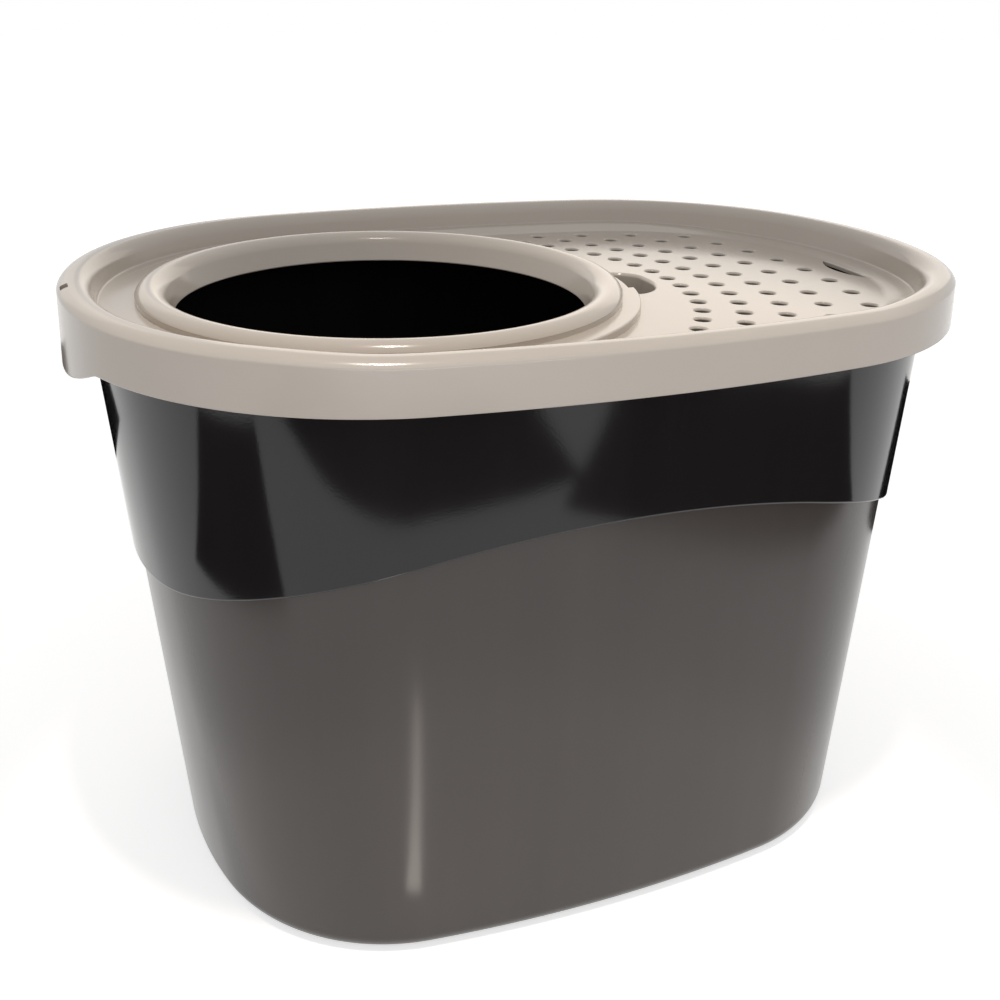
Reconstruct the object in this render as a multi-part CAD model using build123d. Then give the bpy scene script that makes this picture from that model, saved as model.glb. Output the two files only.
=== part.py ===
from build123d import *
import math
import os

# Top entry litter box: a deep oval tub and a lid that drops over its rim. The lid is a shallow tray
# with a raised collar round the entry hole at one end and a perforated deck at the other.
# Origin: centre of the tub's underside. +X is the long way, towards the perforated end, +Z is up.
# All sizes are in millimetres and all angles in degrees.

# ---------------------------------------------------------------- plan outlines
# Each oval is eight tangent arcs: two ends, four corners, two sides. Both ovals hand over from one
# arc to the next at the same directions, so that the walls between them run smooth.
END_JUNCTION = 15.6
SIDE_JUNCTION = 83.2

LID_LENGTH = 520.0
LID_WIDTH = 365.5
LID_CORNER_R = 164.5

BASE_LENGTH = 422.3
BASE_WIDTH = 310.8
BASE_CORNER_R = 113.7

# ---------------------------------------------------------------- lid
LID_WALL = 2.6
SKIRT_DRAFT = 0.6
CREST_RISE = 28.0        # skirt's lower edge to the top of the crown that runs round the lid
EDGE_BEVEL = 1.2         # crisp edge between the skirt's face and the crown's shoulder
SHOULDER_R = 8.5         # roundness of the crown on its outer side
SHOULDER_ANGLE = 142.0   # where the shoulder starts, from the way inwards
CREST_INSET = 7.7        # outline to the top of the shoulder
CREST_FLAT = 1.9
CROWN_R = 9.0            # roundness of the crown on its tray side
INNER_WALL_ANGLE = 12.0  # lean of the tray's side
ROOF_BEVEL = 3.0         # corners of the channel under the crown
LEDGE_RISE = 13.6        # ledge round the tray, above the skirt's lower edge
DECK_RISE = 9.4          # perforated deck, above the skirt's lower edge
LEDGE_INSET = 24.9       # outline to the inner edge of the ledge
COVE_WIDTH = 13.8        # slope from the ledge down to the deck

COLLAR_X = -84.8         # centre of the entry hole
MOUTH_D = 231.6
COLLAR_R = 13.0          # roundness of the collar's roll
COLLAR_SINK = 1.0        # centre of the roll below the deck
COLLAR_FLATS = 4         # facets of the hollow under the roll
LIP_DROP = 5.5           # collar's inner wall, below the deck
PLATFORM_X = -88.6       # centre of the low step round the collar
PLATFORM_R = 149.5

HOLE_D = 8.8
HOLE_PITCH = 6.21        # degrees between neighbours in a row, about the entry hole's centre
HOLE_ROW_RADII = (180.0, 203.1, 226.5, 251.6, 278.1)
HOLE_COUNTS = (14, 14, 12, 10, 8)

NOTCH_X = (33.0, 81.0)   # hand hole beside the collar
NOTCH_Y = (-40.0, 14.0)
NOTCH_CORNER_R = 21.5
NOTCH_DEPTH = 18.0       # sleeve below the deck

SLOT_Y = -20.0           # crescent slot at the deck's far end
SLOT_LENGTH = 52.0
SLOT_BULGE = 5.4
SLOT_MARGIN = 1.4        # inside the deck's far end

LUG_DROP = 14.5          # pull lug at each end, below the skirt
LUG_HALF = 70.0
LATCH_SLOT_X = 4.0       # core slot through the crown above each lug
LATCH_SLOT_Y = 8.6
LATCH_SLOT_INSET = 2.5

# ---------------------------------------------------------------- tub
SKIRT_HEIGHT = 318.8     # floor to the lid skirt's lower edge
TUB_WALL = 3.0
FLOOR_BEVEL = 5.0        # between the tub's wall and floor, inside
BASE_EDGE_R = 10.0
BAND_INSET = 15.3        # lid outline to the smooth upper band, at its top
BAND_PROUD = 3.75        # band over the lower wall
BAND_DEPTH = 70.2        # skirt's lower edge to the band's edge, at mid length
ARCH_R = 524.0           # the band's edge is an arch that falls towards both ends

RIM_WALL = 2.4           # rolled rim that stands in the lid's channel
RIM_ROLL_R = 4.1
RIM_LIP_RISE = 14.0      # turned-down lip's lower edge, above the skirt's
RIM_CLEARANCE = 0.8      # lip to the skirt's inner face
RIM_GAP = 0.4            # rim's roll to the channel's roof
RIM_BODY_INSET = 11.4    # outline to the rim's standing wall
RIM_BEVEL = 1.5
BEAD_INSET = 8.6         # flat bead on the rim that carries the lid
BEAD_WIDTH = 1.8
STEP_RISE = 3.2          # shelf where the wall steps out to the rim
STEP_THICKNESS = 2.6


# ---------------------------------------------------------------- outlines
def cos(angle):
    return math.cos(math.radians(angle))


def sin(angle):
    return math.sin(math.radians(angle))


def tan(angle):
    return math.tan(math.radians(angle))


def oval_arcs(length, width, corner_r):
    """Eight arcs as (centre x, centre y, radius, start, sweep), anticlockwise from the +X end."""
    half_l, half_w = length / 2, width / 2
    c2, s2 = cos(END_JUNCTION), sin(END_JUNCTION)
    c1, s1 = cos(SIDE_JUNCTION), sin(SIDE_JUNCTION)
    p = corner_r * (c2 - c1) - half_l
    q = corner_r * (s2 - s1) + half_w
    det = (c2 - 1) * (1 - s1) + c1 * s2
    end_r = (p * (1 - s1) + q * c1) / det
    side_r = (q * (c2 - 1) - p * s2) / det
    end_x = half_l - end_r
    side_y = half_w - side_r
    corner_x = (side_r - corner_r) * c1
    corner_y = side_y + (side_r - corner_r) * s1
    corner_sweep = SIDE_JUNCTION - END_JUNCTION
    side_sweep = 180 - 2 * SIDE_JUNCTION
    arcs = []
    for turn, sx in ((0, 1), (180, -1)):
        arcs.append((sx * end_x, 0, end_r, turn - END_JUNCTION, 2 * END_JUNCTION))
        arcs.append((sx * corner_x, sx * corner_y, corner_r, turn + END_JUNCTION, corner_sweep))
        arcs.append((0, sx * side_y, side_r, turn + SIDE_JUNCTION, side_sweep))
        arcs.append((-sx * corner_x, sx * corner_y, corner_r, turn + 180 - SIDE_JUNCTION, corner_sweep))
    return arcs


LID_OVAL = oval_arcs(LID_LENGTH, LID_WIDTH, LID_CORNER_R)
BASE_OVAL = oval_arcs(BASE_LENGTH, BASE_WIDTH, BASE_CORNER_R)


def oval_face(arcs, inset, z):
    """Flat face inside an oval, moved in by `inset`."""
    edges = [Edge.make_circle(r - inset, Plane((x, y, z)), a, a + sweep) for x, y, r, a, sweep in arcs]
    return Face(Wire(edges))


def oval_prism(inset, bottom, top, arcs=LID_OVAL):
    return extrude(oval_face(arcs, inset, bottom), top - bottom, dir=(0, 0, 1))


def path_face(path, place):
    """Closed face. A step of `path` is a line's end, or an arc's (middle, end)."""
    edges = []
    here = path[0]
    for step in list(path[1:]) + [path[0]]:
        if isinstance(step[0], tuple):
            middle, end = step
            edges.append(Edge.make_three_point_arc(place(here), place(middle), place(end)))
        else:
            end = step
            edges.append(Edge.make_line(place(here), place(end)))
        here = end
    return Face(Wire(edges))


def lathe(path, centre, radius, start, sweep):
    """Solid that turns a section about a vertical axis. Section x is the inset from `radius`."""
    x, y = centre
    c, s = cos(start), sin(start)
    face = path_face(path, lambda p: (x + (radius - p[0]) * c, y + (radius - p[0]) * s, p[1]))
    return Solid.revolve(face, sweep, Axis((x, y, 0), (0, 0, 1)))


def ring(path, arcs=LID_OVAL):
    """Section carried round an oval. Section x is the inset from the oval."""
    return Part() + [lathe(path, (x, y), r, a, sweep) for x, y, r, a, sweep in arcs]


def on_arc(centre, radius, angle):
    return (centre[0] + radius * cos(angle), centre[1] + radius * sin(angle))


# ---------------------------------------------------------------- lid
# The lid is modelled with its skirt's lower edge at z = 0, and lifted on to the tub at the end.
# It is the form under its upper skin, less the form under its lower skin.
SHOULDER_CENTRE = (CREST_INSET, CREST_RISE - SHOULDER_R)
CROWN_CENTRE = (CREST_INSET + CREST_FLAT, CREST_RISE - CROWN_R)
ROOF_RISE = CREST_RISE - LID_WALL
DECK_INSET = LEDGE_INSET + COVE_WIDTH
OVERLAP = 8.0            # lap of the deck under the ring that surrounds it
CLIP_INSET = LEDGE_INSET - LID_WALL
DECK_END_R = LID_LENGTH / 2 - DECK_INSET - COLLAR_X
MOUTH_R = MOUTH_D / 2
COLLAR_CENTRE_RISE = DECK_RISE - COLLAR_SINK


def tray_side(skin, rise):
    """Inset of the tray's side at a height, `skin` behind its face."""
    x, z = on_arc(CROWN_CENTRE, CROWN_R - skin, INNER_WALL_ANGLE)
    return x + (z - rise) * tan(INNER_WALL_ANGLE)


def tray_steps(skin):
    """Section from the ledge to the deck, lowered by `skin`."""
    ledge = (LEDGE_INSET, LEDGE_RISE - skin)
    deck = DECK_RISE - skin
    return [ledge, (DECK_INSET, deck), (DECK_INSET + OVERLAP, deck)]


def deck_forms(skin, bottom):
    """Deck and the low step round the collar, lowered by `skin`."""
    deck = oval_prism(DECK_INSET + OVERLAP / 2, bottom, DECK_RISE - skin)
    step = Pos(PLATFORM_X, 0, bottom) * Solid.make_cylinder(PLATFORM_R - skin, LEDGE_RISE - skin - bottom)
    clip = oval_prism(CLIP_INSET, bottom, CREST_RISE)
    return [deck, step & clip]


def collar_form(skin, bottom, steps):
    """Half-round roll round the entry hole, true where `steps` is 0, or in so many flats."""
    r = COLLAR_R - skin
    middle = (COLLAR_R, COLLAR_CENTRE_RISE)
    path = [(COLLAR_R + r, bottom), on_arc(middle, r, 0)]
    if steps == 0:
        path.append((on_arc(middle, r, 90), on_arc(middle, r, 180)))
    for n in range(steps):
        path.append(on_arc(middle, r, 180 * (n + 1) / steps))
    path.append((COLLAR_R - r, bottom))
    return lathe(path, (COLLAR_X, 0), MOUTH_R + 2 * COLLAR_R, 0, 360)


def upper_form():
    """Solid body under the lid's upper skin."""
    shoulder = on_arc(SHOULDER_CENTRE, SHOULDER_R, SHOULDER_ANGLE)
    middle = on_arc(SHOULDER_CENTRE, SHOULDER_R, (SHOULDER_ANGLE + 90) / 2)
    path = [(0, 0), (SKIRT_DRAFT, shoulder[1] - EDGE_BEVEL), shoulder]
    path.append((middle, (CREST_INSET, CREST_RISE)))
    path.append(on_arc(CROWN_CENTRE, CROWN_R, 90))
    path.append((on_arc(CROWN_CENTRE, CROWN_R, 50), on_arc(CROWN_CENTRE, CROWN_R, INNER_WALL_ANGLE)))
    path.append((tray_side(0, LEDGE_RISE), LEDGE_RISE))
    path = path + tray_steps(0) + [(DECK_INSET + OVERLAP, 0)]
    body = ring(path) + deck_forms(0, 0) + collar_form(0, 0, 0)
    return body - Pos(COLLAR_X, 0, -1) * Solid.make_cylinder(MOUTH_R, CREST_RISE + 2)


def lower_form():
    """Hollow under the lid's skin."""
    outer = LID_WALL + SKIRT_DRAFT
    corner = ROOF_RISE - ROOF_BEVEL
    inner = tray_side(LID_WALL, corner)
    ledge = LEDGE_RISE - LID_WALL
    path = [(LID_WALL, -1), (outer, corner), (outer + ROOF_BEVEL, ROOF_RISE)]
    path = path + [(inner - ROOF_BEVEL, ROOF_RISE), (inner, corner), (tray_side(LID_WALL, ledge), ledge)]
    path = path + tray_steps(LID_WALL) + [(DECK_INSET + OVERLAP, -1)]
    hollow = ring(path) + deck_forms(LID_WALL, -1) + collar_form(LID_WALL, -1, COLLAR_FLATS)
    lip = Pos(COLLAR_X, 0, DECK_RISE - LIP_DROP) * Solid.make_cylinder(MOUTH_R + LID_WALL, CREST_RISE)
    return hollow - lip


def notch_prism(wall, bottom, top):
    """Rounded opening that ends against the collar, grown by `wall`."""
    x0, x1 = NOTCH_X
    y0, y1 = NOTCH_Y
    outline = RectangleRounded(x1 - x0 + 2 * wall, y1 - y0 + 2 * wall, NOTCH_CORNER_R + wall)
    prism = Pos((x0 + x1) / 2, (y0 + y1) / 2, bottom) * extrude(outline, top - bottom)
    collar = Pos(COLLAR_X, 0, bottom) * Solid.make_cylinder(MOUTH_R + 2 * COLLAR_R - wall, top - bottom)
    return prism - collar


def crescent_slot():
    bulge_r = (SLOT_LENGTH ** 2 / 4 + SLOT_BULGE ** 2) / (2 * SLOT_BULGE)
    outer_r = DECK_END_R - SLOT_MARGIN
    tip_x = COLLAR_X + math.sqrt(outer_r ** 2 - (abs(SLOT_Y) + SLOT_LENGTH / 2) ** 2)
    bulge_x = tip_x - SLOT_BULGE + bulge_r
    outer = Pos(COLLAR_X, 0, 0) * Solid.make_cylinder(outer_r, CREST_RISE)
    bulge = Pos(bulge_x, SLOT_Y, 0) * Solid.make_cylinder(bulge_r, CREST_RISE)
    return outer & bulge


def deck_holes():
    holes = []
    for radius, count in zip(HOLE_ROW_RADII, HOLE_COUNTS):
        for n in range(count):
            angle = (n - (count - 1) / 2) * HOLE_PITCH
            x, y = on_arc((COLLAR_X, 0), radius, angle)
            holes.append(Pos(x, y, 0) * Solid.make_cylinder(HOLE_D / 2, CREST_RISE))
    return holes


def end_lugs():
    """Pull lugs: the skirt's lower edge dips in an arc at both ends."""
    r = (LUG_HALF ** 2 + LUG_DROP ** 2) / (2 * LUG_DROP)
    path = [(0, -LUG_DROP - 1), (0, 0), (SKIRT_DRAFT / 4, LID_WALL), (LID_WALL, LID_WALL), (LID_WALL, -LUG_DROP - 1)]
    skirt = ring(path)
    dip = Plane((-LID_LENGTH, 0, r - LUG_DROP), z_dir=(1, 0, 0)) * Solid.make_cylinder(r, 2 * LID_LENGTH)
    below = Pos(0, 0, -LUG_DROP) * Box(2 * LID_LENGTH, LID_WIDTH, 2 * LUG_DROP)
    return skirt & dip & below


def latch_slots():
    x = LID_LENGTH / 2 - LATCH_SLOT_INSET - LATCH_SLOT_X / 2
    slot = Pos(0, 0, ROOF_RISE) * Box(LATCH_SLOT_X, LATCH_SLOT_Y, 2 * CROWN_R)
    return [Pos(side * x, 0, 0) * slot for side in (-1, 1)]


def make_lid():
    lid = upper_form() - lower_form()
    sleeve = notch_prism(LID_WALL, DECK_RISE - NOTCH_DEPTH, DECK_RISE)
    lid = lid + sleeve + end_lugs()
    lid = lid - notch_prism(0, DECK_RISE - NOTCH_DEPTH - 1, CREST_RISE)
    lid = lid - crescent_slot() - deck_holes() - latch_slots()
    return Pos(0, 0, SKIRT_HEIGHT) * lid


# ---------------------------------------------------------------- tub
STEP_TOP = SKIRT_HEIGHT + STEP_RISE
LOWER_INSET = BAND_INSET + BAND_PROUD


def tub_wall(skin, proud):
    """Solid between the base oval and the wall's top, `proud` of the lower wall."""
    foot = oval_face(BASE_OVAL, skin - proud, BASE_EDGE_R)
    top = oval_face(LID_OVAL, LOWER_INSET + skin - proud, STEP_TOP)
    return Solid.make_loft([foot.outer_wire(), top.outer_wire()], ruled=True)


def tub_foot(path):
    """Floor of the tub under its wall, with a rounded or bevelled edge."""
    under = BASE_EDGE_R + OVERLAP
    bottom = path[0][1]
    edge = ring([(under, bottom)] + path + [(under, BASE_EDGE_R)], BASE_OVAL)
    return edge + oval_prism(BASE_EDGE_R + OVERLAP / 2, bottom, BASE_EDGE_R, BASE_OVAL)


def tub_form(skin):
    """Tub's body, `skin` inside its outer face."""
    middle = (BASE_EDGE_R, BASE_EDGE_R)
    if skin == 0:
        foot = [(BASE_EDGE_R, 0), (on_arc(middle, BASE_EDGE_R, 225), (0, BASE_EDGE_R))]
    else:
        foot = [(skin + FLOOR_BEVEL, skin), (skin, skin + FLOOR_BEVEL), (skin, BASE_EDGE_R)]
    arch_z = SKIRT_HEIGHT - BAND_DEPTH - ARCH_R
    arch = Plane((0, -LID_WIDTH, arch_z), z_dir=(0, 1, 0)) * Solid.make_cylinder(ARCH_R + skin, 2 * LID_WIDTH)
    return tub_foot(foot) + tub_wall(skin, 0) + (tub_wall(skin, BAND_PROUD) - arch)


def tub_rim():
    """Rolled rim: a shelf, a standing wall, a roll with a flat bead, and a turned-down lip."""
    lip = LID_WALL + SKIRT_DRAFT + RIM_CLEARANCE
    top = ROOF_RISE - RIM_GAP
    roll = (lip + RIM_ROLL_R, top - RIM_ROLL_R)
    inner_r = RIM_ROLL_R - RIM_WALL
    body = RIM_BODY_INSET
    back = body + RIM_WALL
    bead_end = BEAD_INSET + BEAD_WIDTH
    shelf = STEP_RISE - STEP_THICKNESS
    shelf_inner = BAND_INSET + TUB_WALL / 2
    path = [(lip, RIM_LIP_RISE), (lip, roll[1])]
    path.append((on_arc(roll, RIM_ROLL_R, 135), on_arc(roll, RIM_ROLL_R, 90)))
    path = path + [(BEAD_INSET, top), (BEAD_INSET, ROOF_RISE), (bead_end, ROOF_RISE), (bead_end, top)]
    path = path + [(back - RIM_BEVEL, top), (back, top - RIM_BEVEL), (back, STEP_RISE)]
    path = path + [(shelf_inner, STEP_RISE), (shelf_inner, shelf), (body, shelf), (body, top - RIM_WALL)]
    path = path + [(roll[0], top - RIM_WALL), (lip + RIM_WALL, roll[1] + inner_r / 2), (lip + RIM_WALL, RIM_LIP_RISE)]
    return Pos(0, 0, SKIRT_HEIGHT) * ring(path)


def make_tub():
    return tub_form(0) - tub_form(TUB_WALL) + tub_rim()


os.makedirs("parts", exist_ok=True)
for name, node in (("tub", make_tub()), ("lid", make_lid())):
    export_step(node, f"parts/{name}.step")
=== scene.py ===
import math

import bpy
import numpy as np
from mathutils import Matrix, Vector


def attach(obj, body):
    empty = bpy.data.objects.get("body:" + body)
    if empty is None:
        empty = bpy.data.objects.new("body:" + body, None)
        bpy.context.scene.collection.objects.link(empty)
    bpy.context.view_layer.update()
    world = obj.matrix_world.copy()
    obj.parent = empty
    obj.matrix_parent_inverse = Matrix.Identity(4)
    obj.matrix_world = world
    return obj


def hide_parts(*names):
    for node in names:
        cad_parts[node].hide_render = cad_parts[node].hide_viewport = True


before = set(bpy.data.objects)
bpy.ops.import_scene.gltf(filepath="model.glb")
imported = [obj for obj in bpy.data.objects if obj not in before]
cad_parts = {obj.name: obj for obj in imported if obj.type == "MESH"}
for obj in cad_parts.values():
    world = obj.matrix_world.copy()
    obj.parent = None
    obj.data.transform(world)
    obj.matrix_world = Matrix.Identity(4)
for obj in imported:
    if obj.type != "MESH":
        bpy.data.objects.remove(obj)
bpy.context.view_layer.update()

# ---------------------------------------------------------------- camera
# Held a little over half a metre from the box, looking down on the lid.
SENSOR = 36.0
LENS = 41.910
SHIFT = (0.01328, -0.1)
CAMERA_PLACE = Vector((-0.2696, -0.6225, 0.4929))
CAMERA_AZIMUTH = -21.86
CAMERA_ELEVATION = 19.31
CAMERA_ROLL = 1.10


def make_camera():
    data = bpy.data.cameras.new("camera")
    data.sensor_width = SENSOR
    data.lens = LENS
    data.shift_x, data.shift_y = SHIFT
    data.clip_start = 0.02
    data.clip_end = 50
    camera = bpy.data.objects.new("camera", data)
    bpy.context.scene.collection.objects.link(camera)
    a, e = math.radians(CAMERA_AZIMUTH), math.radians(CAMERA_ELEVATION)
    back = Vector((math.sin(a) * math.cos(e), -math.cos(a) * math.cos(e), math.sin(e)))
    right = (-back).cross(Vector((0, 0, 1))).normalized()
    up = right.cross(-back)
    roll = math.radians(CAMERA_ROLL)
    x_axis = right * math.cos(roll) + up * math.sin(roll)
    y_axis = up * math.cos(roll) - right * math.sin(roll)
    turn = Matrix((x_axis, y_axis, back)).transposed().to_4x4()
    camera.matrix_world = Matrix.Translation(CAMERA_PLACE) @ turn
    bpy.context.scene.camera = camera


make_camera()


# ---------------------------------------------------------------- colour and node helpers
def colour(hex_code):
    """Linear RGBA of an sRGB hex colour."""
    values = [int(hex_code[i : i + 2], 16) / 255 for i in (1, 3, 5)]
    linear = [v / 12.92 if v <= 0.04045 else ((v + 0.055) / 1.055) ** 2.4 for v in values]
    return (*linear, 1.0)


def add(tree, kind, links=(), **settings):
    """Adds a node. `settings` are its properties and `links` are (socket, value or other socket)."""
    node = tree.nodes.new(kind)
    for name, value in settings.items():
        setattr(node, name, value)
    for socket, value in links:
        target = node.inputs[socket]
        if isinstance(value, bpy.types.NodeSocket):
            tree.links.new(value, target)
        else:
            target.default_value = value
    return node


def new_material(name):
    material = bpy.data.materials.new(name)
    material.use_nodes = True
    tree = material.node_tree
    tree.nodes.clear()
    return material, tree


# ---------------------------------------------------------------- materials
def moulded_polypropylene_satin():
    """Lid: polypropylene from a finely polished tool. Warm grey, even, with a clear but soft shine.

    The pigment is a little cloudy where the melt flowed, a hand wide. The skin has the slight ripple
    of a cooled moulding, some 30 mm from crest to crest, and a grain of about 1 mm.
    """
    material, tree = new_material("moulded_polypropylene_satin")
    place = add(tree, "ShaderNodeTexCoord").outputs["Object"]
    cloud = add(tree, "ShaderNodeTexNoise", [("Vector", place), ("Scale", 11.0), ("Detail", 3.0)]).outputs["Fac"]
    tone = add(
        tree,
        "ShaderNodeMix",
        [("Factor", cloud), ("A", colour("#C3B9AE")), ("B", colour("#CBC1B6"))],
        data_type="RGBA",
    )
    gloss = add(
        tree,
        "ShaderNodeMapRange",
        [("Value", cloud), ("From Min", 0.3), ("From Max", 0.7), ("To Min", 0.13), ("To Max", 0.19)],
    )
    ripple = add(tree, "ShaderNodeTexNoise", [("Vector", place), ("Scale", 33.0), ("Detail", 1.0)]).outputs["Fac"]
    grain = add(tree, "ShaderNodeTexNoise", [("Vector", place), ("Scale", 950.0), ("Detail", 2.0)]).outputs["Fac"]
    waves = add(tree, "ShaderNodeBump", [("Height", ripple), ("Strength", 0.12), ("Distance", 0.0008)])
    skin = add(
        tree,
        "ShaderNodeBump",
        [("Height", grain), ("Strength", 0.05), ("Distance", 0.0003), ("Normal", waves.outputs["Normal"])],
    )
    shader = add(
        tree,
        "ShaderNodeBsdfPrincipled",
        [
            ("Base Color", tone.outputs["Result"]),
            ("Roughness", gloss.outputs["Result"]),
            ("IOR", 1.49),
            ("Normal", skin.outputs["Normal"]),
        ],
    )
    add(tree, "ShaderNodeOutputMaterial", [("Surface", shader.outputs["BSDF"])])
    return material


def pearl_polypropylene(name, dark, light, roughness):
    """Tub: charcoal polypropylene with pearl pigment. Deep and mirror-like, browner where it is lit.

    The pigment shows as faint upright flow streaks, as the melt rose from the floor to the rim, and
    as flakes of about 1 mm, drawn coarser than real ones so that they show.
    """
    material, tree = new_material(name)
    place = add(tree, "ShaderNodeTexCoord").outputs["Object"]
    drawn = add(tree, "ShaderNodeMapping", [("Vector", place), ("Scale", (1.0, 1.0, 0.12))]).outputs["Vector"]
    streak = add(tree, "ShaderNodeTexNoise", [("Vector", drawn), ("Scale", 26.0), ("Detail", 4.0)]).outputs["Fac"]
    tone = add(
        tree, "ShaderNodeMix", [("Factor", streak), ("A", colour(dark)), ("B", colour(light))], data_type="RGBA"
    )
    gloss = add(
        tree,
        "ShaderNodeMapRange",
        [("Value", streak), ("To Min", roughness * 0.8), ("To Max", roughness * 1.2)],
    )
    flake = add(tree, "ShaderNodeTexNoise", [("Vector", place), ("Scale", 1000.0), ("Detail", 1.0)]).outputs["Fac"]
    swell = add(tree, "ShaderNodeTexNoise", [("Vector", place), ("Scale", 14.0), ("Detail", 1.0)]).outputs["Fac"]
    waves = add(tree, "ShaderNodeBump", [("Height", swell), ("Strength", 0.15), ("Distance", 0.002)])
    skin = add(
        tree,
        "ShaderNodeBump",
        [("Height", flake), ("Strength", 0.03), ("Distance", 0.0003), ("Normal", waves.outputs["Normal"])],
    )
    shader = add(
        tree,
        "ShaderNodeBsdfPrincipled",
        [
            ("Base Color", tone.outputs["Result"]),
            ("Roughness", gloss.outputs["Result"]),
            ("IOR", 1.49),
            ("Normal", skin.outputs["Normal"]),
        ],
    )
    add(tree, "ShaderNodeOutputMaterial", [("Surface", shader.outputs["BSDF"])])
    return material


LID_FINISH = moulded_polypropylene_satin()
# The tub is one plastic, given in two copies. The band's copy is painted darker, a painted reflection of dark
# surroundings. The wall's copy is painted paler, a painted reflection of the pale floor.
BAND_PAINTED_DARK_FINISH = pearl_polypropylene("polished_pearl_polypropylene_painted_dark", "#1D1B1C", "#272425", 0.09)
WALL_PAINTED_PALE_FINISH = pearl_polypropylene("moulded_pearl_polypropylene_painted_pale", "#433D3A", "#4F4844", 0.19)

# ---------------------------------------------------------------- sizes of the two mouldings, in mm and degrees
END_JUNCTION = 15.6
SIDE_JUNCTION = 83.2
LID_SIZE = (519.98, 365.36, 164.5)
BASE_SIZE = (422.3, 310.8, 113.7)
END_STEPS, CORNER_STEPS, SIDE_STEPS = 32, 52, 44

SKIRT_HEIGHT = 318.8
LID_WALL = 2.6
SKIRT_DRAFT = 0.6
CREST_RISE = 28.0
EDGE_R = 2.0
SHOULDER_R = 8.5
SHOULDER_ANGLE = 142.0
CREST_INSET = 7.7
CREST_FLAT = 1.9
CROWN_R = 9.0
INNER_WALL_ANGLE = 12.0
FOOT_R = 1.2
ROOF_BEVEL = 3.0
LEDGE_RISE = 13.6
DECK_RISE = 9.4
LEDGE_INSET = 24.9
COVE_WIDTH = 13.8
# The near long side sags a little, and the ledge falls towards the deck at the far end.
SAG = 1.7
FALL_START, FALL_DEPTH = 150.0, 2.6

COLLAR_X = -84.8
MOUTH_R = 115.8
COLLAR_R = 13.0
COLLAR_SINK = 1.0
LIP_DROP = 5.5
ROLL_OUTER_R, ROLL_INNER_R, ROLL_SHOULDER = 7.8, 10.0, 158
ROLL_WALL_R, HOLLOW_SHIFT = 135.6, 0.4
PLATFORM_X = -88.6
PLATFORM_R = 149.5
PLATFORM_INNER_R = 129.0
PLATFORM_EDGE_R = 1.0

HOLE_D = 8.8
HOLE_LIP_R = 1.3
HOLE_PITCH = 6.21
HOLE_ROWS = ((180.0, 14), (203.1, 14), (226.5, 12), (251.6, 10), (278.1, 8))

NOTCH_SIDE_X = 81.0
NOTCH_CORNERS = ((-40.0, 26.0, 30.0), (14.0, 22.0, 16.0))
NOTCH_DEPTH = 18.0
NOTCH_LIP_R = 2.2
SLOT_Y, SLOT_LENGTH, SLOT_BULGE, SLOT_R = -24.0, 46.0, 6.8, 306.2
LUG_DROP, LUG_HALF = 14.5, 70.0
LATCH_SLOT = (4.0, 8.6, 2.5)

TUB_WALL = 3.0
FLOOR_BEVEL = 5.0
BASE_EDGE_R = 10.0
BAND_INSET = 15.3
BAND_PROUD = 3.75
BAND_DEPTH = 70.2
BAND_EDGE_R = 1.5
ARCH_R = 524.0
RIM_WALL = 2.4
RIM_ROLL_R = 4.1
RIM_LIP_RISE = 14.0
RIM_CLEARANCE = 0.8
RIM_GAP = 0.4
RIM_BODY_INSET = 11.4
RIM_BEVEL = 1.5
BEAD_INSET, BEAD_WIDTH = 8.6, 1.8
STEP_RISE, STEP_THICKNESS = 3.2, 2.6


# ---------------------------------------------------------------- outlines
def cos(angle):
    return math.cos(math.radians(angle))


def sin(angle):
    return math.sin(math.radians(angle))


def oval_columns(length, width, corner_r):
    """Points round an oval of eight tangent arcs: centre, radius and outward direction of each."""
    half_l, half_w = length / 2, width / 2
    c2, s2 = cos(END_JUNCTION), sin(END_JUNCTION)
    c1, s1 = cos(SIDE_JUNCTION), sin(SIDE_JUNCTION)
    p = corner_r * (c2 - c1) - half_l
    q = corner_r * (s2 - s1) + half_w
    det = (c2 - 1) * (1 - s1) + c1 * s2
    end_r = (p * (1 - s1) + q * c1) / det
    side_r = (q * (c2 - 1) - p * s2) / det
    corner_x = (side_r - corner_r) * c1
    corner_y = half_w - side_r + (side_r - corner_r) * s1
    sweep = SIDE_JUNCTION - END_JUNCTION
    rows = []
    for turn, side in ((0, 1), (180, -1)):
        arcs = (
            (side * (half_l - end_r), 0, end_r, turn - END_JUNCTION, 2 * END_JUNCTION, END_STEPS),
            (side * corner_x, side * corner_y, corner_r, turn + END_JUNCTION, sweep, CORNER_STEPS),
            (0, side * (half_w - side_r), side_r, turn + SIDE_JUNCTION, 180 - 2 * SIDE_JUNCTION, SIDE_STEPS),
            (-side * corner_x, side * corner_y, corner_r, turn + 180 - SIDE_JUNCTION, sweep, CORNER_STEPS),
        )
        for x, y, r, start, arc_sweep, steps in arcs:
            for n in range(steps):
                a = start + arc_sweep * n / steps
                rows.append((x, y, r, cos(a), sin(a)))
    return np.array(rows).T


LID_OVAL = oval_columns(*LID_SIZE)
BASE_OVAL = oval_columns(*BASE_SIZE)


def ring(oval, inset, z):
    """One loop of points `inset` inside an oval."""
    x, y, r, c, s = oval
    return np.stack([x + (r - inset) * c, y + (r - inset) * s, z + 0 * x], axis=1)


def circle(centre, radius, z, steps):
    a = np.linspace(0, 2 * math.pi, steps, endpoint=False)
    return np.stack([centre[0] + radius * np.cos(a), centre[1] + radius * np.sin(a), z + 0 * a], axis=1)


def arc(centre, radius, start, end, steps):
    """Points of a section arc, from `start` to `end` degrees, both included."""
    return [
        (centre[0] + radius * cos(a), centre[1] + radius * sin(a)) for a in np.linspace(start, end, steps)
    ]


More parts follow.
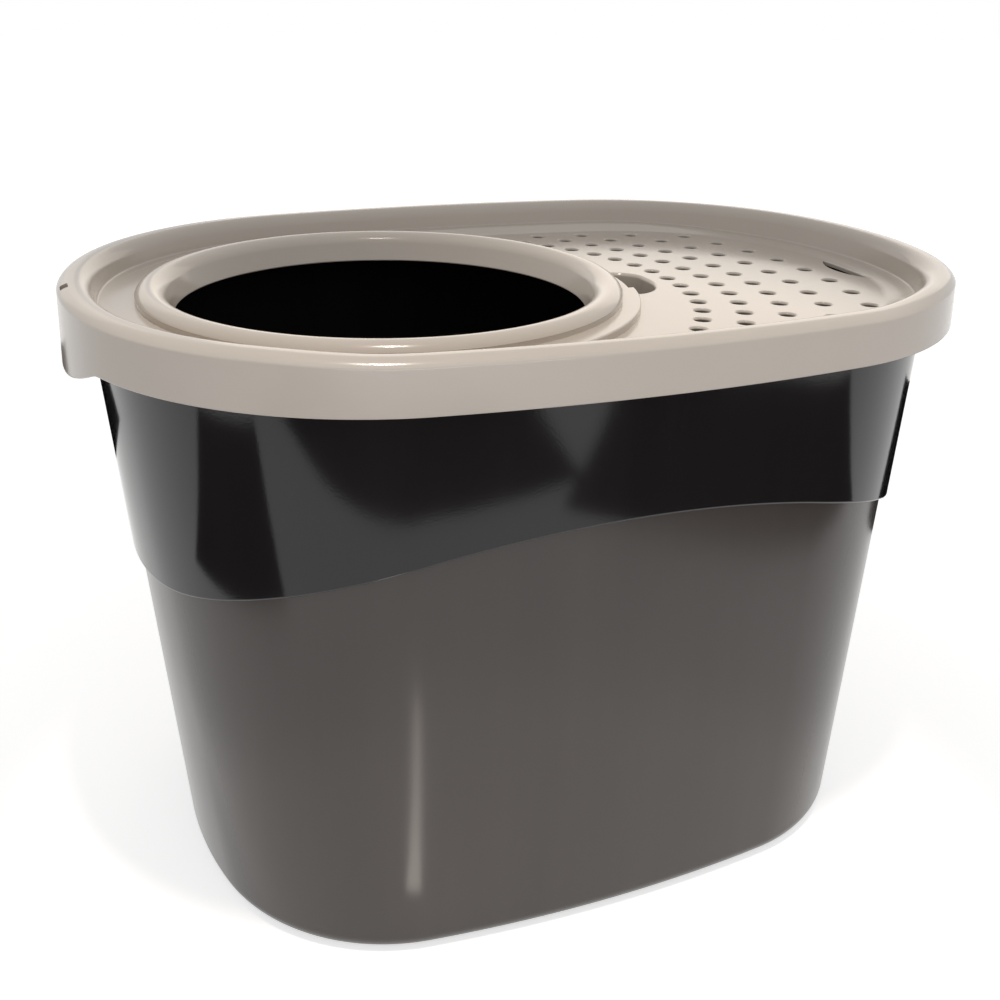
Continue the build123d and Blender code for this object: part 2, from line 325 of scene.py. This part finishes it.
def closed_mesh(name, loops, joined=False):
    """Skin over a stack of loops, in mm. It ends in two flat caps, or joins up with itself."""
    count = len(loops[0])
    points = [Vector(p) / 1000 for loop in loops for p in loop]
    faces = []
    bands = len(loops) if joined else len(loops) - 1
    for k in range(bands):
        here, there = k * count, (k + 1) % len(loops) * count
        for n in range(count):
            m = (n + 1) % count
            faces.append((here + n, here + m, there + m, there + n))
    if not joined:
        faces.append(tuple(reversed(range(count))))
        faces.append(tuple(range((len(loops) - 1) * count, len(loops) * count)))
    mesh = bpy.data.meshes.new(name)
    mesh.from_pydata(points, [], faces)
    mesh.validate()
    piece = bpy.data.objects.new(name, mesh)
    bpy.context.scene.collection.objects.link(piece)
    return piece


def turned(name, section, centre, steps):
    """Closed ring turned about a vertical axis from a closed section of (radius, z)."""
    return closed_mesh(name, [circle(centre, r, z, steps) for r, z in section], joined=True)


def disc(name, section, centre, steps):
    return closed_mesh(name, [circle(centre, r, z, steps) for r, z in section])


def evaluated(piece):
    """Replaces a piece's mesh by what its modifiers make of it, and removes them."""
    graph = bpy.context.evaluated_depsgraph_get()
    mesh = bpy.data.meshes.new_from_object(piece.evaluated_get(graph))
    piece.modifiers.clear()
    piece.data = mesh
    return piece


def combine(piece, tool, operation):
    """Joins a closed tool to a piece, or cuts it away, and drops the tool."""
    change = piece.modifiers.new(operation, "BOOLEAN")
    change.operation = operation
    change.solver = "MANIFOLD"
    change.object = tool
    evaluated(piece)
    bpy.data.objects.remove(tool)
    return piece


# ---------------------------------------------------------------- lid
def tray_skin(name, section, bottom):
    """Closed body from a section of (inset, z) and a lower edge whose height follows the oval."""
    x, y = ring(LID_OVAL, 0, 0)[:, :2].T
    fall = eased_array((x - FALL_START) / (LID_SIZE[0] / 2 - FALL_START)) * FALL_DEPTH
    sag = eased_array((190 - np.abs(x)) / 60) * (y < 0) * SAG * (name == "lid_shell")
    skin = 0 if name == "lid_shell" else LID_WALL
    rise = LEDGE_RISE - DECK_RISE
    loops = []
    for inset, z in section:
        drop = -sag * min(max((z - LEDGE_RISE) / 8, 0), 1)
        if inset > 15 and z < LEDGE_RISE - skin + FOOT_R + 0.01:
            drop = drop + fall * min((z + skin - DECK_RISE) / rise, 1)
        loops.append(ring(LID_OVAL, inset + drop * (inset > 15) * 0.2, z - np.abs(drop)))
    return closed_mesh(name, bottom + loops)


def eased_array(t):
    t = np.clip(t, 0, 1)
    return t * t * (3 - 2 * t)


def lug_dip():
    """How far the skirt's lower edge dips: an arc at each end, eased into the straight edge."""
    y = ring(LID_OVAL, 0, 0)[:, 1]
    r = (LUG_HALF**2 + LUG_DROP**2) / (2 * LUG_DROP)
    depth = np.sqrt(np.maximum(r * r - y * y, 0)) - r + LUG_DROP
    ease = 1.2
    return 0.5 * (depth + np.sqrt(depth * depth + ease * ease)) * (np.abs(y) < 110)


def upper_section():
    shoulder = (CREST_INSET, CREST_RISE - SHOULDER_R)
    edge = (SKIRT_DRAFT + EDGE_R, shoulder[1] + (SHOULDER_R - EDGE_R) * sin(SHOULDER_ANGLE))
    crown = (CREST_INSET + CREST_FLAT, CREST_RISE - CROWN_R)
    side = arc(crown, CROWN_R, 90, INNER_WALL_ANGLE, 14)
    slope = math.tan(math.radians(INNER_WALL_ANGLE))
    foot_x = side[-1][0] + (side[-1][1] - LEDGE_RISE) * slope
    turn = 90 - INNER_WALL_ANGLE
    reach = FOOT_R * math.tan(math.radians(turn / 2))
    foot = (foot_x + reach, LEDGE_RISE + FOOT_R)
    section = arc(edge, EDGE_R, 180, SHOULDER_ANGLE, 5) + arc(shoulder, SHOULDER_R, SHOULDER_ANGLE, 90, 9)[1:]
    section += side + arc(foot, FOOT_R, 180 + INNER_WALL_ANGLE, 270, 5)
    section.append(((foot_x + LEDGE_INSET) / 2, LEDGE_RISE))
    for n in range(15):
        t = n / 14
        section.append((LEDGE_INSET + COVE_WIDTH * t, LEDGE_RISE - (LEDGE_RISE - DECK_RISE) * eased(t)))
    return section


def eased(t, corner=0.3):
    """Ramp from 0 to 1 with rounded ends."""
    steep = 1 / (1 - corner)
    if t < corner:
        return steep * t * t / (2 * corner)
    if t > 1 - corner:
        return 1 - steep * (1 - t) ** 2 / (2 * corner)
    return steep * (t - corner / 2)


def lower_section():
    """Hollow under the lid: channel for the tub's rim, then the underside of the tray."""
    outer = LID_WALL + SKIRT_DRAFT
    roof = CREST_RISE - LID_WALL
    corner = roof - ROOF_BEVEL
    crown = (CREST_INSET + CREST_FLAT, CREST_RISE - CROWN_R)
    base = arc(crown, CROWN_R - LID_WALL, INNER_WALL_ANGLE, INNER_WALL_ANGLE, 1)[0]
    slope = math.tan(math.radians(INNER_WALL_ANGLE))
    ledge = LEDGE_RISE - LID_WALL
    inner = base[0] + (base[1] - corner) * slope
    foot = base[0] + (base[1] - ledge) * slope
    section = [(outer, corner)] + arc((outer + ROOF_BEVEL, corner), ROOF_BEVEL, 180, 90, 5)[1:-1]
    section += [(outer + ROOF_BEVEL, roof), (inner - ROOF_BEVEL, roof)]
    section += arc((inner - ROOF_BEVEL, corner), ROOF_BEVEL, 90, 0, 5)[1:]
    section.append((foot, ledge))
    for n in range(8):
        t = n / 7
        section.append((LEDGE_INSET + COVE_WIDTH * t, ledge - (LEDGE_RISE - DECK_RISE) * eased(t)))
    return section


def collar_section(skin, bottom):
    """Roll round the entry hole, on `bottom`: round on top, tapered inside, with an upright wall outside.

    With a skin it is the hollow under the roll.
    """
    middle = (MOUTH_R + COLLAR_R, DECK_RISE - COLLAR_SINK)
    if skin:
        r = ROLL_WALL_R - skin - (MOUTH_R + COLLAR_R - HOLLOW_SHIFT)
        hollow = (MOUTH_R + COLLAR_R - HOLLOW_SHIFT, middle[1] + COLLAR_R - skin - r)
        return [(hollow[0] + r, bottom)] + arc(hollow, r, 0, 180, 17) + [(MOUTH_R + skin + 0.7, bottom)]
    crest = middle[1] + COLLAR_R
    top = arc((middle[0], crest - ROLL_OUTER_R), ROLL_OUTER_R, 24, 90, 12)
    top += arc((middle[0], crest - ROLL_INNER_R), ROLL_INNER_R, 90, ROLL_SHOULDER, 13)[1:]
    section = [(ROLL_WALL_R, bottom), (ROLL_WALL_R, top[0][1] - 0.5), (top[0][0], top[0][1] - 0.15)]
    section += top
    lip = 1.0
    return section + arc((MOUTH_R + lip, bottom + lip), lip, 180, 270, 5)


def make_lid_shell():
    dip = lug_dip()
    lower_r = 0.8
    under = [ring(LID_OVAL, 60, 0), ring(LID_OVAL, 7.0, -dip)]
    under += [
        ring(LID_OVAL, lower_r + lower_r * cos(a), lower_r + lower_r * sin(a) - dip)
        for a in (270, 240, 210, 180)
    ]
    lid = tray_skin("lid_shell", upper_section(), under)
    low = [ring(LID_OVAL, 60, -30), ring(LID_OVAL, 1.2, -dip - 2.0)]
    low += [ring(LID_OVAL, 1.9, -dip - 0.05), ring(LID_OVAL, LID_WALL, -dip + 0.8)]
    hollow = tray_skin("hollow", lower_section(), low)

    centre = (COLLAR_X, 0)
    platform = (PLATFORM_X, 0)
    opened = disc("opened", [(MOUTH_R + 6, -40), (MOUTH_R + 6, 60)], centre, 160)
    combine(lid, opened, "DIFFERENCE")
    edge = arc((PLATFORM_R - PLATFORM_EDGE_R, LEDGE_RISE - PLATFORM_EDGE_R), PLATFORM_EDGE_R, 0, 90, 5)
    step = turned("step", [(PLATFORM_INNER_R, 3.0), (PLATFORM_R, 3.0)] + edge + [(PLATFORM_INNER_R, LEDGE_RISE)], platform, 240)
    combine(lid, step, "UNION")
    combine(lid, turned("roll", collar_section(0, DECK_RISE - LIP_DROP), centre, 240), "UNION")

    plug = disc("plug", [(MOUTH_R + 9, DECK_RISE - LIP_DROP - 0.7), (MOUTH_R + 9, 60)], centre, 120)
    combine(hollow, plug, "DIFFERENCE")
    skin = LID_WALL
    under_step = [
        (PLATFORM_INNER_R, 2.0),
        (PLATFORM_R - skin, 2.0),
        (PLATFORM_R - skin, LEDGE_RISE - skin),
        (PLATFORM_INNER_R, LEDGE_RISE - skin),
    ]
    combine(hollow, turned("under_step", under_step, platform, 160), "UNION")
    combine(hollow, turned("under_roll", collar_section(skin, 1.0), centre, 160), "UNION")
    combine(lid, hollow, "DIFFERENCE")
    return lid


# ---------------------------------------------------------------- perforated deck
def hole_cutter():
    """Punch for one litter hole, with the soft lip of the moulded hole above and below the deck."""
    r = HOLE_D / 2
    lip = HOLE_LIP_R
    upper = arc((r + lip, -lip), lip, 104, 180, 5)
    section = [(r + lip + 1.0, 2.0), (r + lip + 0.2, 0.3)] + upper
    section += [(r + 0.1, -lip - 0.15), (r + 1.1, -LID_WALL - 0.6)]
    return disc("hole_cutter", section[::-1], (0, 0), 36)


def perforation_tree(cutter, material):
    """Rows of cutters on arcs about the entry hole, evenly spaced by angle."""
    tree = bpy.data.node_groups.new("deck_perforation", "GeometryNodeTree")
    sockets = {}
    for name, kind in (
        ("Centre X", "NodeSocketFloat"),
        ("Deck Height", "NodeSocketFloat"),
        ("Row Radius", "NodeSocketFloat"),
        ("Hole Count", "NodeSocketInt"),
        ("Pitch", "NodeSocketFloat"),
    ):
        sockets[name] = tree.interface.new_socket(name, in_out="INPUT", socket_type=kind).identifier
    tree.interface.new_socket("Geometry", in_out="OUTPUT", socket_type="NodeSocketGeometry")
    given = add(tree, "NodeGroupInput").outputs
    last = add(tree, "ShaderNodeMath", [(0, given["Hole Count"]), (1, 1.0)], operation="SUBTRACT").outputs[0]
    half = add(tree, "ShaderNodeMath", [(0, last), (1, 0.5)], operation="MULTIPLY").outputs[0]
    index = add(tree, "GeometryNodeInputIndex").outputs[0]
    from_middle = add(tree, "ShaderNodeMath", [(0, index), (1, half)], operation="SUBTRACT").outputs[0]
    angle = add(tree, "ShaderNodeMath", [(0, from_middle), (1, given["Pitch"])], operation="MULTIPLY").outputs[0]
    along = add(tree, "ShaderNodeMath", [(0, angle)], operation="COSINE").outputs[0]
    across = add(tree, "ShaderNodeMath", [(0, angle)], operation="SINE").outputs[0]
    sideways = [(0, across), (1, given["Row Radius"])]
    outwards = [(0, along), (1, given["Row Radius"]), (2, given["Centre X"])]
    x = add(tree, "ShaderNodeMath", outwards, operation="MULTIPLY_ADD").outputs[0]
    y = add(tree, "ShaderNodeMath", sideways, operation="MULTIPLY").outputs[0]
    place = add(tree, "ShaderNodeCombineXYZ", [("X", x), ("Y", y), ("Z", given["Deck Height"])]).outputs[0]
    points = add(tree, "GeometryNodePoints", [("Count", given["Hole Count"]), ("Position", place)]).outputs[0]
    shape = add(tree, "GeometryNodeObjectInfo", [("Object", cutter)]).outputs["Geometry"]
    copies = add(tree, "GeometryNodeInstanceOnPoints", [("Points", points), ("Instance", shape)]).outputs[0]
    real = add(tree, "GeometryNodeRealizeInstances", [("Geometry", copies)]).outputs[0]
    finished = add(tree, "GeometryNodeSetMaterial", [("Geometry", real), ("Material", material)]).outputs[0]
    add(tree, "NodeGroupOutput", [("Geometry", finished)])
    return tree, sockets


def perforate(lid):
    cutter = hole_cutter()
    tree, sockets = perforation_tree(cutter, LID_FINISH)
    for radius, count in HOLE_ROWS:
        row = bpy.data.objects.new("hole_row", bpy.data.meshes.new("hole_row"))
        bpy.context.scene.collection.objects.link(row)
        holes = row.modifiers.new("deck_perforation", "NODES")
        holes.node_group = tree
        holes[sockets["Centre X"]] = COLLAR_X / 1000
        holes[sockets["Deck Height"]] = DECK_RISE / 1000
        holes[sockets["Row Radius"]] = radius / 1000
        holes[sockets["Hole Count"]] = count
        holes[sockets["Pitch"]] = math.radians(HOLE_PITCH)
        combine(lid, evaluated(row), "DIFFERENCE")
    bpy.data.objects.remove(cutter)


# ---------------------------------------------------------------- hand notch and slots
def flared_prism(name, outline, bottom, top, lip):
    """Cutter along an anticlockwise outline of (x, y, share of the rounded lip)."""
    points = np.array([p[:2] for p in outline])
    share = np.array([p[2] for p in outline])[:, None]
    ahead = np.roll(points, -1, 0) - points
    behind = points - np.roll(points, 1, 0)
    along = ahead / np.linalg.norm(ahead, axis=1)[:, None] + behind / np.linalg.norm(behind, axis=1)[:, None]
    out = np.stack([along[:, 1], -along[:, 0]], 1)
    out = out / np.linalg.norm(out, axis=1)[:, None] * share
    steps = [(0.0, bottom), (0.0, top - lip)]
    steps += [(lip * (1 - cos(a)), top - lip + lip * sin(a)) for a in (18, 36, 54, 70, 78)]
    steps += [(lip + 0.6, top + 0.3), (lip + 0.6, top + 16.0)]
    loops = []
    for grow, z in steps:
        flat = points + out * grow
        loops.append(np.concatenate([flat, np.full((len(flat), 1), z)], 1))
    return closed_mesh(name, loops)


def notch_outline(grow):
    """Hand hole beside the collar: rounded on the deck's side, straight up against the roll."""
    (low, low_rx, low_ry), (high, high_rx, high_ry) = NOTCH_CORNERS
    outline = []
    for a in np.linspace(-90, 0, 24):
        x = NOTCH_SIDE_X - low_rx + (low_rx + grow) * cos(a)
        outline.append((x, low + low_ry + (low_ry + grow) * sin(a), min(1.0, (a + 90) / 16)))
    for a in np.linspace(0, 90, 20):
        x = NOTCH_SIDE_X - high_rx + (high_rx + grow) * cos(a)
        outline.append((x, high - high_ry + (high_ry + grow) * sin(a), min(1.0, (90 - a) / 16)))
    radius = MOUTH_R + 2 * COLLAR_R - max(0.0, grow - 0.4)
    first = math.degrees(math.asin((high + grow) / radius))
    last = math.degrees(math.asin((low - grow) / radius))
    for a in np.linspace(first, last, 16):
        outline.append((COLLAR_X + radius * cos(a), radius * sin(a), 0.0))
    return outline


def crescent_outline():
    """Slot at the deck's far end, between two arcs."""
    bulge_r = (SLOT_LENGTH**2 / 4 + SLOT_BULGE**2) / (2 * SLOT_BULGE)
    low = SLOT_Y - SLOT_LENGTH / 2
    tip_x = COLLAR_X + math.sqrt(SLOT_R**2 - low**2)
    bulge_x = tip_x - SLOT_BULGE + bulge_r
    distance = bulge_x - COLLAR_X
    spread = math.hypot(distance, SLOT_Y)
    reach = (spread**2 + SLOT_R**2 - bulge_r**2) / (2 * spread)
    side = math.sqrt(SLOT_R**2 - reach**2)
    high = (SLOT_Y * reach + distance * side) / spread
    heights = low + (high - low) * (1 - np.cos(np.linspace(0, math.pi, 24))) / 2
    outer = [(COLLAR_X + math.sqrt(SLOT_R**2 - y * y), y, 1.0) for y in heights[1:]]
    inner = [(bulge_x - math.sqrt(bulge_r**2 - (y - SLOT_Y) ** 2), y, 1.0) for y in heights[::-1][1:]]
    return outer + inner


def rounded_box_outline(x, y, width, height, r):
    outline = []
    for sx, sy, start in ((1, 1, 0), (-1, 1, 90), (-1, -1, 180), (1, -1, 270)):
        for px, py in arc((x + sx * (width / 2 - r), y + sy * (height / 2 - r)), r, start, start + 90, 4):
            outline.append((px, py, 1.0))
    return outline


def cut_openings(lid):
    base = DECK_RISE - NOTCH_DEPTH
    loops = [[(x, y, z) for x, y, share in notch_outline(LID_WALL)] for z in (base, DECK_RISE - 1.0)]
    combine(lid, closed_mesh("notch_sleeve", loops), "UNION")
    combine(lid, flared_prism("notch", notch_outline(0), base - 2, DECK_RISE, NOTCH_LIP_R), "DIFFERENCE")
    combine(lid, flared_prism("crescent", crescent_outline(), 0, DECK_RISE, 0.8), "DIFFERENCE")
    width, height, inset = LATCH_SLOT
    for side in (-1, 1):
        x = side * (LID_SIZE[0] / 2 - inset - width / 2)
        slot = rounded_box_outline(x, 0, width, height, 0.5)
        loops = [[(px, py, z) for px, py, share in slot] for z in (16.4, 34.0)]
        combine(lid, closed_mesh("latch_slot", loops), "DIFFERENCE")


def smooth(piece, angle):
    """Smooth shading that leans on the larger faces, with an edge wherever the skin turns by `angle`."""
    piece.data.shade_smooth()
    piece.data.set_sharp_from_angle(angle=math.radians(angle))
    weighted = piece.modifiers.new("weighted_normal", "WEIGHTED_NORMAL")
    weighted.keep_sharp = True
    return evaluated(piece)


def make_lid():
    lid = make_lid_shell()
    cut_openings(lid)
    perforate(lid)
    lid.data.transform(Matrix.Translation((0, 0, SKIRT_HEIGHT / 1000)))
    lid.data.materials.clear()
    lid.data.materials.append(LID_FINISH)
    lid.name = "tray_lid"
    return smooth(lid, 32)


# ---------------------------------------------------------------- tub
STEP_TOP = SKIRT_HEIGHT + STEP_RISE
ARCH_Z = SKIRT_HEIGHT - BAND_DEPTH - ARCH_R


def wall_ring(skin, proud, height):
    """Loop of the tub's wall at a height that may differ from column to column."""
    base = ring(BASE_OVAL, skin - proud, BASE_EDGE_R)
    top = ring(LID_OVAL, BAND_INSET + BAND_PROUD + skin - proud, STEP_TOP)
    share = ((height - BASE_EDGE_R) / (STEP_TOP - BASE_EDGE_R) * np.ones(len(base)))[:, None]
    return base + (top - base) * share


def arch_height(skin, proud):
    """Height at which each column of the wall meets the arch under the band."""
    height = np.full(len(LID_OVAL[0]), SKIRT_HEIGHT - BAND_DEPTH)
    for n in range(6):
        x = wall_ring(skin, proud, height)[:, 0]
        height = ARCH_Z + np.sqrt((ARCH_R + skin) ** 2 - x**2)
    return height


def wall_stack(skin, foot):
    """Loops from the foot of the tub's wall to its top, over the step under the band."""
    arch = arch_height(skin, BAND_PROUD / 2)
    r = BAND_EDGE_R
    loops = [wall_ring(skin, 0, foot + (arch - 0.8 - foot) * n / 8) for n in range(9)]
    loops.append(wall_ring(skin, 0.2, arch - 0.25))
    loops.append(wall_ring(skin, 0.8, arch))
    for x, z in arc((BAND_PROUD - r, r), r, 270, 360, 5):
        loops.append(wall_ring(skin, x, arch + z))
    rest = STEP_TOP - arch - r
    loops += [wall_ring(skin, BAND_PROUD, arch + r + rest * n / 5) for n in range(1, 5)]
    return loops


def rim_section():
    """Rolled rim from the shelf under it, out over the lip, across the bead and back to the wall."""
    lip = LID_WALL + SKIRT_DRAFT + RIM_CLEARANCE
    roof = CREST_RISE - LID_WALL
    top = roof - RIM_GAP
    roll = (lip + RIM_ROLL_R, top - RIM_ROLL_R)
    body = RIM_BODY_INSET
    back = body + RIM_WALL
    shelf = STEP_RISE - STEP_THICKNESS
    section = [(BAND_INSET, shelf), (body + 0.4, shelf), (body, shelf + 0.4), (body, top - RIM_WALL - 1)]
    section += arc((body - 1, top - RIM_WALL - 1), 1, 0, 90, 3)[1:]
    section += arc(roll, RIM_ROLL_R - RIM_WALL, 90, 180, 5)
    section += [(lip + RIM_WALL, RIM_LIP_RISE + 0.4), (lip + RIM_WALL - 0.4, RIM_LIP_RISE)]
    section += [(lip + 0.4, RIM_LIP_RISE), (lip, RIM_LIP_RISE + 0.4)]
    section += arc(roll, RIM_ROLL_R, 180, 90, 8)
    section += [(BEAD_INSET, top), (BEAD_INSET, roof), (BEAD_INSET + BEAD_WIDTH, roof), (BEAD_INSET + BEAD_WIDTH, top)]
    section += arc((back - RIM_BEVEL, top - RIM_BEVEL), RIM_BEVEL, 90, 0, 5)
    section += [(back, STEP_RISE + 0.6), (back + 0.6, STEP_RISE)]
    section.append((BAND_INSET + TUB_WALL - 0.6, STEP_RISE))
    return section


def make_tub():
    edge = BASE_EDGE_R
    loops = [ring(BASE_OVAL, 60, 0)]
    loops += [ring(BASE_OVAL, x, z) for x, z in arc((edge, edge), edge, 270, 180, 11)[:-1]]
    loops += wall_stack(0, BASE_EDGE_R)
    loops += [ring(LID_OVAL, x, SKIRT_HEIGHT + z) for x, z in rim_section()]
    loops += wall_stack(TUB_WALL, TUB_WALL + FLOOR_BEVEL)[::-1]
    bevel = TUB_WALL + FLOOR_BEVEL
    loops += [ring(BASE_OVAL, x, z) for x, z in arc((bevel, bevel), FLOOR_BEVEL, 180, 270, 5)[1:]]
    loops.append(ring(BASE_OVAL, 60, TUB_WALL))
    tub = closed_mesh("deep_tub", loops)
    tub.data.materials.append(WALL_PAINTED_PALE_FINISH)
    tub.data.materials.append(BAND_PAINTED_DARK_FINISH)
    # Faces above the arch take the band's copy of the plastic, whose darker colour is a painted reflection.
    arch = arch_height(0, BAND_PROUD / 2) / 1000
    count = len(arch)
    for face in tub.data.polygons:
        first = min(face.vertices)
        if len(face.vertices) == 4 and face.center.z > arch[first % count]:
            face.material_index = 1
    return smooth(tub, 40)


lid_shell = make_lid()
tub_shell = make_tub()
for shell, node in ((lid_shell, "lid"), (tub_shell, "tub")):
    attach(shell, node)
    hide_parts(node)


# ---------------------------------------------------------------- studio
def make_floor():
    """White studio floor. It glows for the camera and in gloss, and takes the shadow on top."""
    material, tree = new_material("studio_floor_paint")
    path = add(tree, "ShaderNodeLightPath").outputs
    seen = add(tree, "ShaderNodeMath", [(0, path["Is Camera Ray"]), (1, path["Is Glossy Ray"])], operation="ADD")
    seen = add(tree, "ShaderNodeMath", [(0, seen.outputs[0]), (1, path["Is Transmission Ray"])], operation="ADD")
    glow = add(tree, "ShaderNodeMath", [(0, seen.outputs[0]), (1, 0.6)], operation="MULTIPLY", use_clamp=True)
    shader = add(
        tree,
        "ShaderNodeBsdfPrincipled",
        [
            ("Base Color", colour("#E8E8E8")),
            ("Roughness", 0.9),
            ("Emission Color", colour("#FFFFFF")),
            ("Emission Strength", glow.outputs[0]),
        ],
    )
    add(tree, "ShaderNodeOutputMaterial", [("Surface", shader.outputs["BSDF"])])
    mesh = bpy.data.meshes.new("studio_floor")
    half = 12.0
    mesh.from_pydata([(-half, -half, 0), (half, -half, 0), (half, half, 0), (-half, half, 0)], [], [(0, 1, 2, 3)])
    mesh.materials.append(material)
    floor = bpy.data.objects.new("studio_floor", mesh)
    bpy.context.scene.collection.objects.link(floor)


def make_world():
    world = bpy.data.worlds.new("studio_world")
    world.use_nodes = True
    tree = world.node_tree
    tree.nodes.clear()
    path = add(tree, "ShaderNodeLightPath").outputs
    shown = add(tree, "ShaderNodeMath", [(0, path["Is Camera Ray"]), (1, path["Is Glossy Ray"])], operation="ADD")
    shown = add(
        tree,
        "ShaderNodeMath",
        [(0, shown.outputs[0]), (1, path["Is Transmission Ray"])],
        operation="ADD",
        use_clamp=True,
    )
    lit = add(tree, "ShaderNodeBackground", [("Color", colour("#FFFFFF")), ("Strength", 0.5)])
    seen = add(tree, "ShaderNodeBackground", [("Color", colour("#FFFFFF")), ("Strength", 1.0)])
    mix = add(
        tree,
        "ShaderNodeMixShader",
        [(0, shown.outputs[0]), (1, lit.outputs["Background"]), (2, seen.outputs["Background"])],
    )
    add(tree, "ShaderNodeOutputWorld", [("Surface", mix.outputs["Shader"])])
    bpy.context.scene.world = world


def area_light(name, place, target, size, power, tint):
    data = bpy.data.lights.new(name, "AREA")
    data.shape = "RECTANGLE"
    data.size, data.size_y = size
    data.energy = power
    data.color = colour(tint)[:3]
    light = bpy.data.objects.new(name, data)
    light.location = place
    aim = Vector(target) - Vector(place)
    light.rotation_mode = "QUATERNION"
    light.rotation_quaternion = aim.to_track_quat("-Z", "Y")
    bpy.context.scene.collection.objects.link(light)


def spot_light(name, place, target, radius, cone, power, tint):
    data = bpy.data.lights.new(name, "SPOT")
    data.spot_size = math.radians(cone)
    data.spot_blend = 0.25
    data.shadow_soft_size = radius
    data.energy = power
    data.color = colour(tint)[:3]
    light = bpy.data.objects.new(name, data)
    light.location = place
    light.rotation_mode = "QUATERNION"
    light.rotation_quaternion = (Vector(target) - Vector(place)).to_track_quat("-Z", "Y")
    bpy.context.scene.collection.objects.link(light)


def make_flag(name, place, size, turn):
    """Black card flat on the floor. Only gloss sees it, so it gives the polished band its depth."""
    material, tree = new_material("matt_black_card")
    shader = add(tree, "ShaderNodeBsdfDiffuse", [("Color", colour("#0C0C0C"))])
    add(tree, "ShaderNodeOutputMaterial", [("Surface", shader.outputs["BSDF"])])
    half_x, half_y = size[0] / 2, size[1] / 2
    spin = Matrix.Rotation(math.radians(turn), 3, "Z")
    corners = [(-half_x, -half_y), (half_x, -half_y), (half_x, half_y), (-half_x, half_y)]
    mesh = bpy.data.meshes.new(name)
    mesh.from_pydata([spin @ Vector((x, y, 0)) + Vector((*place, 0.001)) for x, y in corners], [], [(0, 1, 2, 3)])
    mesh.materials.append(material)
    flag = bpy.data.objects.new(name, mesh)
    flag.visible_camera = False
    flag.visible_diffuse = False
    flag.visible_transmission = False
    flag.visible_shadow = False
    bpy.context.scene.collection.objects.link(flag)


make_floor()
make_world()
make_flag("flag_left", (-0.68, -0.18), (0.36, 0.34), 18)
make_flag("flag_front", (-0.45, -0.90), (1.20, 0.62), -9)
make_flag("flag_right", (0.52, -0.62), (0.62, 0.46), 38)
make_flag("flag_back_right", (0.62, 0.45), (0.50, 0.75), 30)
make_flag("flag_back", (-0.15, 0.88), (0.80, 0.50), 5)
area_light("back_softbox", (1.35, 2.2, 1.05), (0, 0, 0.3), (2.6, 1.1), 6.6, "#FFEBD2")
area_light("back_fill", (-0.6, 2.4, 1.1), (0, 0, 0.3), (1.0, 1.0), 1.2, "#FFEBD2")
area_light("front_softbox", (-0.2, -1.8, 0.2), (0, 0, 0.3), (1.6, 0.36), 6, "#F6F7FF")
spot_light("ceiling_lamp", (-0.14, -0.4, 1.75), (-0.06, -0.15, 0.33), 0.05, 20, 35, "#FFF6EA")
area_light("floor_strip", (-0.119, -0.275, 0.004), (-0.119, -0.275, 1.0), (0.014, 0.18), 0.03, "#FFF6EA")

bpy.context.scene.view_settings.view_transform = "Standard"
